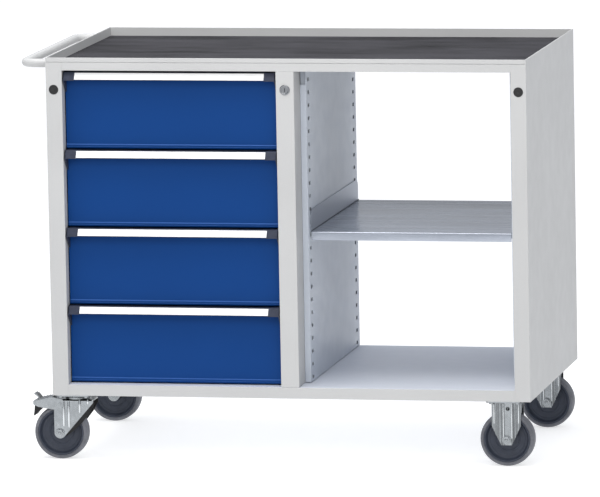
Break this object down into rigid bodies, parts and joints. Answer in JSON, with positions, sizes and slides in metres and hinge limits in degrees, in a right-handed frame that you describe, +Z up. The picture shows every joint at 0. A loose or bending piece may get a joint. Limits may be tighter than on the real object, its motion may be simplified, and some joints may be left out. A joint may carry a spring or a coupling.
{
  "type": "mobile workbench with drawers",
  "caption": "Mobile sheet-steel workbench: rubber-topped tray worktop, lockable drawers beside an open compartment with a shelf, push handle, and swivel and fixed casters.",
  "frame": {"origin": "on the floor, in the middle of the overall footprint", "axes": "+X to the right along the worktop, +Y to the back (the drawers open towards -Y), +Z up"},
  "size_m": [1.196, 0.652, 0.94],
  "materials": {
    "cabinet_paint": "fine-texture light grey powder coat",
    "drawer_box_paint": "fine-texture light grey powder coat",
    "drawer_front_paint": "semi-matt blue powder coat",
    "grip_plastic": "matt moulded plastic",
    "mat_rubber": "fine-ribbed matt rubber",
    "plug_plastic": "matt moulded plastic",
    "galvanised_steel": "galvanised, brushed along X",
    "zinc_plated_steel": "bright zinc plate",
    "slide_steel": "zinc-plated rolled steel",
    "lock_chrome": "polished",
    "wheel_plastic": "moulded polypropylene",
    "tyre_rubber": "matt thermoplastic rubber"
  },
  "bodies": {
    "cabinet": {"left_side_panel": "cabinet_paint", "right_side_panel": "cabinet_paint", "centre_partition": "cabinet_paint", "slotted_linings": "cabinet_paint", "floor_panel": "cabinet_paint", "base_channels": "cabinet_paint", "worktop_tray": "cabinet_paint", "top_front_rail": "cabinet_paint", "drawer_bay_back_panel": "cabinet_paint", "push_handle": "cabinet_paint", "rubber_mat": "mat_rubber", "post_hole_plugs": "plug_plastic", "shelf_clips": "zinc_plated_steel", "lock_housing": "lock_chrome", "slide_cabinet_members": "slide_steel", "caster_bolts": "zinc_plated_steel", "fixed_caster_brackets": "zinc_plated_steel", "swivel_caster_plates": "zinc_plated_steel"},
    "shelf": {"adjustable_shelf": "galvanised_steel"},
    "lock_core": {"lock_cylinder": "lock_chrome", "lock_cam": "zinc_plated_steel"},
    "lock_rod": {"lock_bar": "zinc_plated_steel"},
    "drawer_1": {"drawer_1_box": "drawer_box_paint", "drawer_1_front": "drawer_front_paint", "drawer_1_grip_rail": "grip_plastic", "drawer_1_grip_end_caps": "grip_plastic", "drawer_1_slide_drawer_members": "slide_steel"},
    "drawer_1_middle_slides": {"drawer_1_slide_middle_members": "slide_steel"},
    "drawer_2": {"drawer_2_box": "drawer_box_paint", "drawer_2_front": "drawer_front_paint", "drawer_2_grip_rail": "grip_plastic", "drawer_2_grip_end_caps": "grip_plastic", "drawer_2_slide_drawer_members": "slide_steel"},
    "drawer_2_middle_slides": {"drawer_2_slide_middle_members": "slide_steel"},
    "drawer_3": {"drawer_3_box": "drawer_box_paint", "drawer_3_front": "drawer_front_paint", "drawer_3_grip_rail": "grip_plastic", "drawer_3_grip_end_caps": "grip_plastic", "drawer_3_slide_drawer_members": "slide_steel"},
    "drawer_3_middle_slides": {"drawer_3_slide_middle_members": "slide_steel"},
    "drawer_4": {"drawer_4_box": "drawer_box_paint", "drawer_4_front": "drawer_front_paint", "drawer_4_grip_rail": "grip_plastic", "drawer_4_grip_end_caps": "grip_plastic", "drawer_4_slide_drawer_members": "slide_steel"},
    "drawer_4_middle_slides": {"drawer_4_slide_middle_members": "slide_steel"},
    "front_left_fork": {"front_left_caster_fork": "zinc_plated_steel", "front_left_caster_axle": "zinc_plated_steel"},
    "front_left_roller": {"front_left_wheel": "wheel_plastic", "front_left_tyre": "tyre_rubber"},
    "front_left_brake": {"front_left_brake_pedal": "zinc_plated_steel"},
    "rear_left_fork": {"rear_left_caster_fork": "zinc_plated_steel", "rear_left_caster_axle": "zinc_plated_steel"},
    "rear_left_roller": {"rear_left_wheel": "wheel_plastic", "rear_left_tyre": "tyre_rubber"},
    "rear_left_brake": {"rear_left_brake_pedal": "zinc_plated_steel"},
    "front_right_roller": {"front_right_wheel": "wheel_plastic", "front_right_tyre": "tyre_rubber"},
    "rear_right_roller": {"rear_right_wheel": "wheel_plastic", "rear_right_tyre": "tyre_rubber"}
  },
  "joints": [
    {"name": "drawer_1_pull", "type": "slide", "parent": "cabinet", "child": "drawer_1", "axis": [0, -1, 0], "range_m": [0, 0.5]},
    {"name": "drawer_1_middle_slide", "type": "slide", "parent": "cabinet", "child": "drawer_1_middle_slides", "axis": [0, -1, 0], "range_m": [0, 0.25]},
    {"name": "drawer_2_pull", "type": "slide", "parent": "cabinet", "child": "drawer_2", "axis": [0, -1, 0], "range_m": [0, 0.5]},
    {"name": "drawer_2_middle_slide", "type": "slide", "parent": "cabinet", "child": "drawer_2_middle_slides", "axis": [0, -1, 0], "range_m": [0, 0.25]},
    {"name": "drawer_3_pull", "type": "slide", "parent": "cabinet", "child": "drawer_3", "axis": [0, -1, 0], "range_m": [0, 0.5]},
    {"name": "drawer_3_middle_slide", "type": "slide", "parent": "cabinet", "child": "drawer_3_middle_slides", "axis": [0, -1, 0], "range_m": [0, 0.25]},
    {"name": "drawer_4_pull", "type": "slide", "parent": "cabinet", "child": "drawer_4", "axis": [0, -1, 0], "range_m": [0, 0.5]},
    {"name": "drawer_4_middle_slide", "type": "slide", "parent": "cabinet", "child": "drawer_4_middle_slides", "axis": [0, -1, 0], "range_m": [0, 0.25]},
    {"name": "shelf_lift", "type": "slide", "parent": "cabinet", "child": "shelf", "axis": [0, 0, 1], "range_m": [0, 0.1]},
    {"name": "lock_turn", "type": "hinge", "parent": "cabinet", "child": "lock_core", "pos_m": [0.039, -0.296, 0.868], "axis": [0, -1, 0], "range_deg": [0, 90]},
    {"name": "lock_bar_drop", "type": "slide", "parent": "cabinet", "child": "lock_rod", "axis": [0, 0, -1], "range_m": [0, 0.014]},
    {"name": "front_left_swivel", "type": "hinge", "parent": "cabinet", "child": "front_left_fork", "pos_m": [-0.476, -0.27, 0.145], "axis": [0, 0, 1], "continuous": true},
    {"name": "front_left_roll", "type": "hinge", "parent": "front_left_fork", "child": "front_left_roller", "pos_m": [-0.514, -0.27, 0.0625], "axis": [0, 1, 0], "continuous": true},
    {"name": "front_left_brake_press", "type": "hinge", "parent": "front_left_fork", "child": "front_left_brake", "pos_m": [-0.512, -0.27, 0.131], "axis": [0, -1, 0], "range_deg": [0, 8]},
    {"name": "rear_left_swivel", "type": "hinge", "parent": "cabinet", "child": "rear_left_fork", "pos_m": [-0.476, 0.272, 0.145], "axis": [0, 0, 1], "continuous": true},
    {"name": "rear_left_roll", "type": "hinge", "parent": "rear_left_fork", "child": "rear_left_roller", "pos_m": [-0.514, 0.272, 0.0625], "axis": [0, 1, 0], "continuous": true},
    {"name": "rear_left_brake_press", "type": "hinge", "parent": "rear_left_fork", "child": "rear_left_brake", "pos_m": [-0.512, 0.272, 0.131], "axis": [0, -1, 0], "range_deg": [0, 8]},
    {"name": "front_right_roll", "type": "hinge", "parent": "cabinet", "child": "front_right_roller", "pos_m": [0.5355, -0.27, 0.0625], "axis": [0, 1, 0], "continuous": true},
    {"name": "rear_right_roll", "type": "hinge", "parent": "cabinet", "child": "rear_right_roller", "pos_m": [0.5355, 0.272, 0.0625], "axis": [0, 1, 0], "continuous": true}
  ],
  "couplings": [
    {"joint": "drawer_1_middle_slide", "follows": "drawer_1_pull", "ratio": 0.5},
    {"joint": "drawer_2_middle_slide", "follows": "drawer_2_pull", "ratio": 0.5},
    {"joint": "drawer_3_middle_slide", "follows": "drawer_3_pull", "ratio": 0.5},
    {"joint": "drawer_4_middle_slide", "follows": "drawer_4_pull", "ratio": 0.5},
    {"joint": "lock_turn", "follows": "lock_bar_drop", "rad_per_m": 112.19}
  ]
}
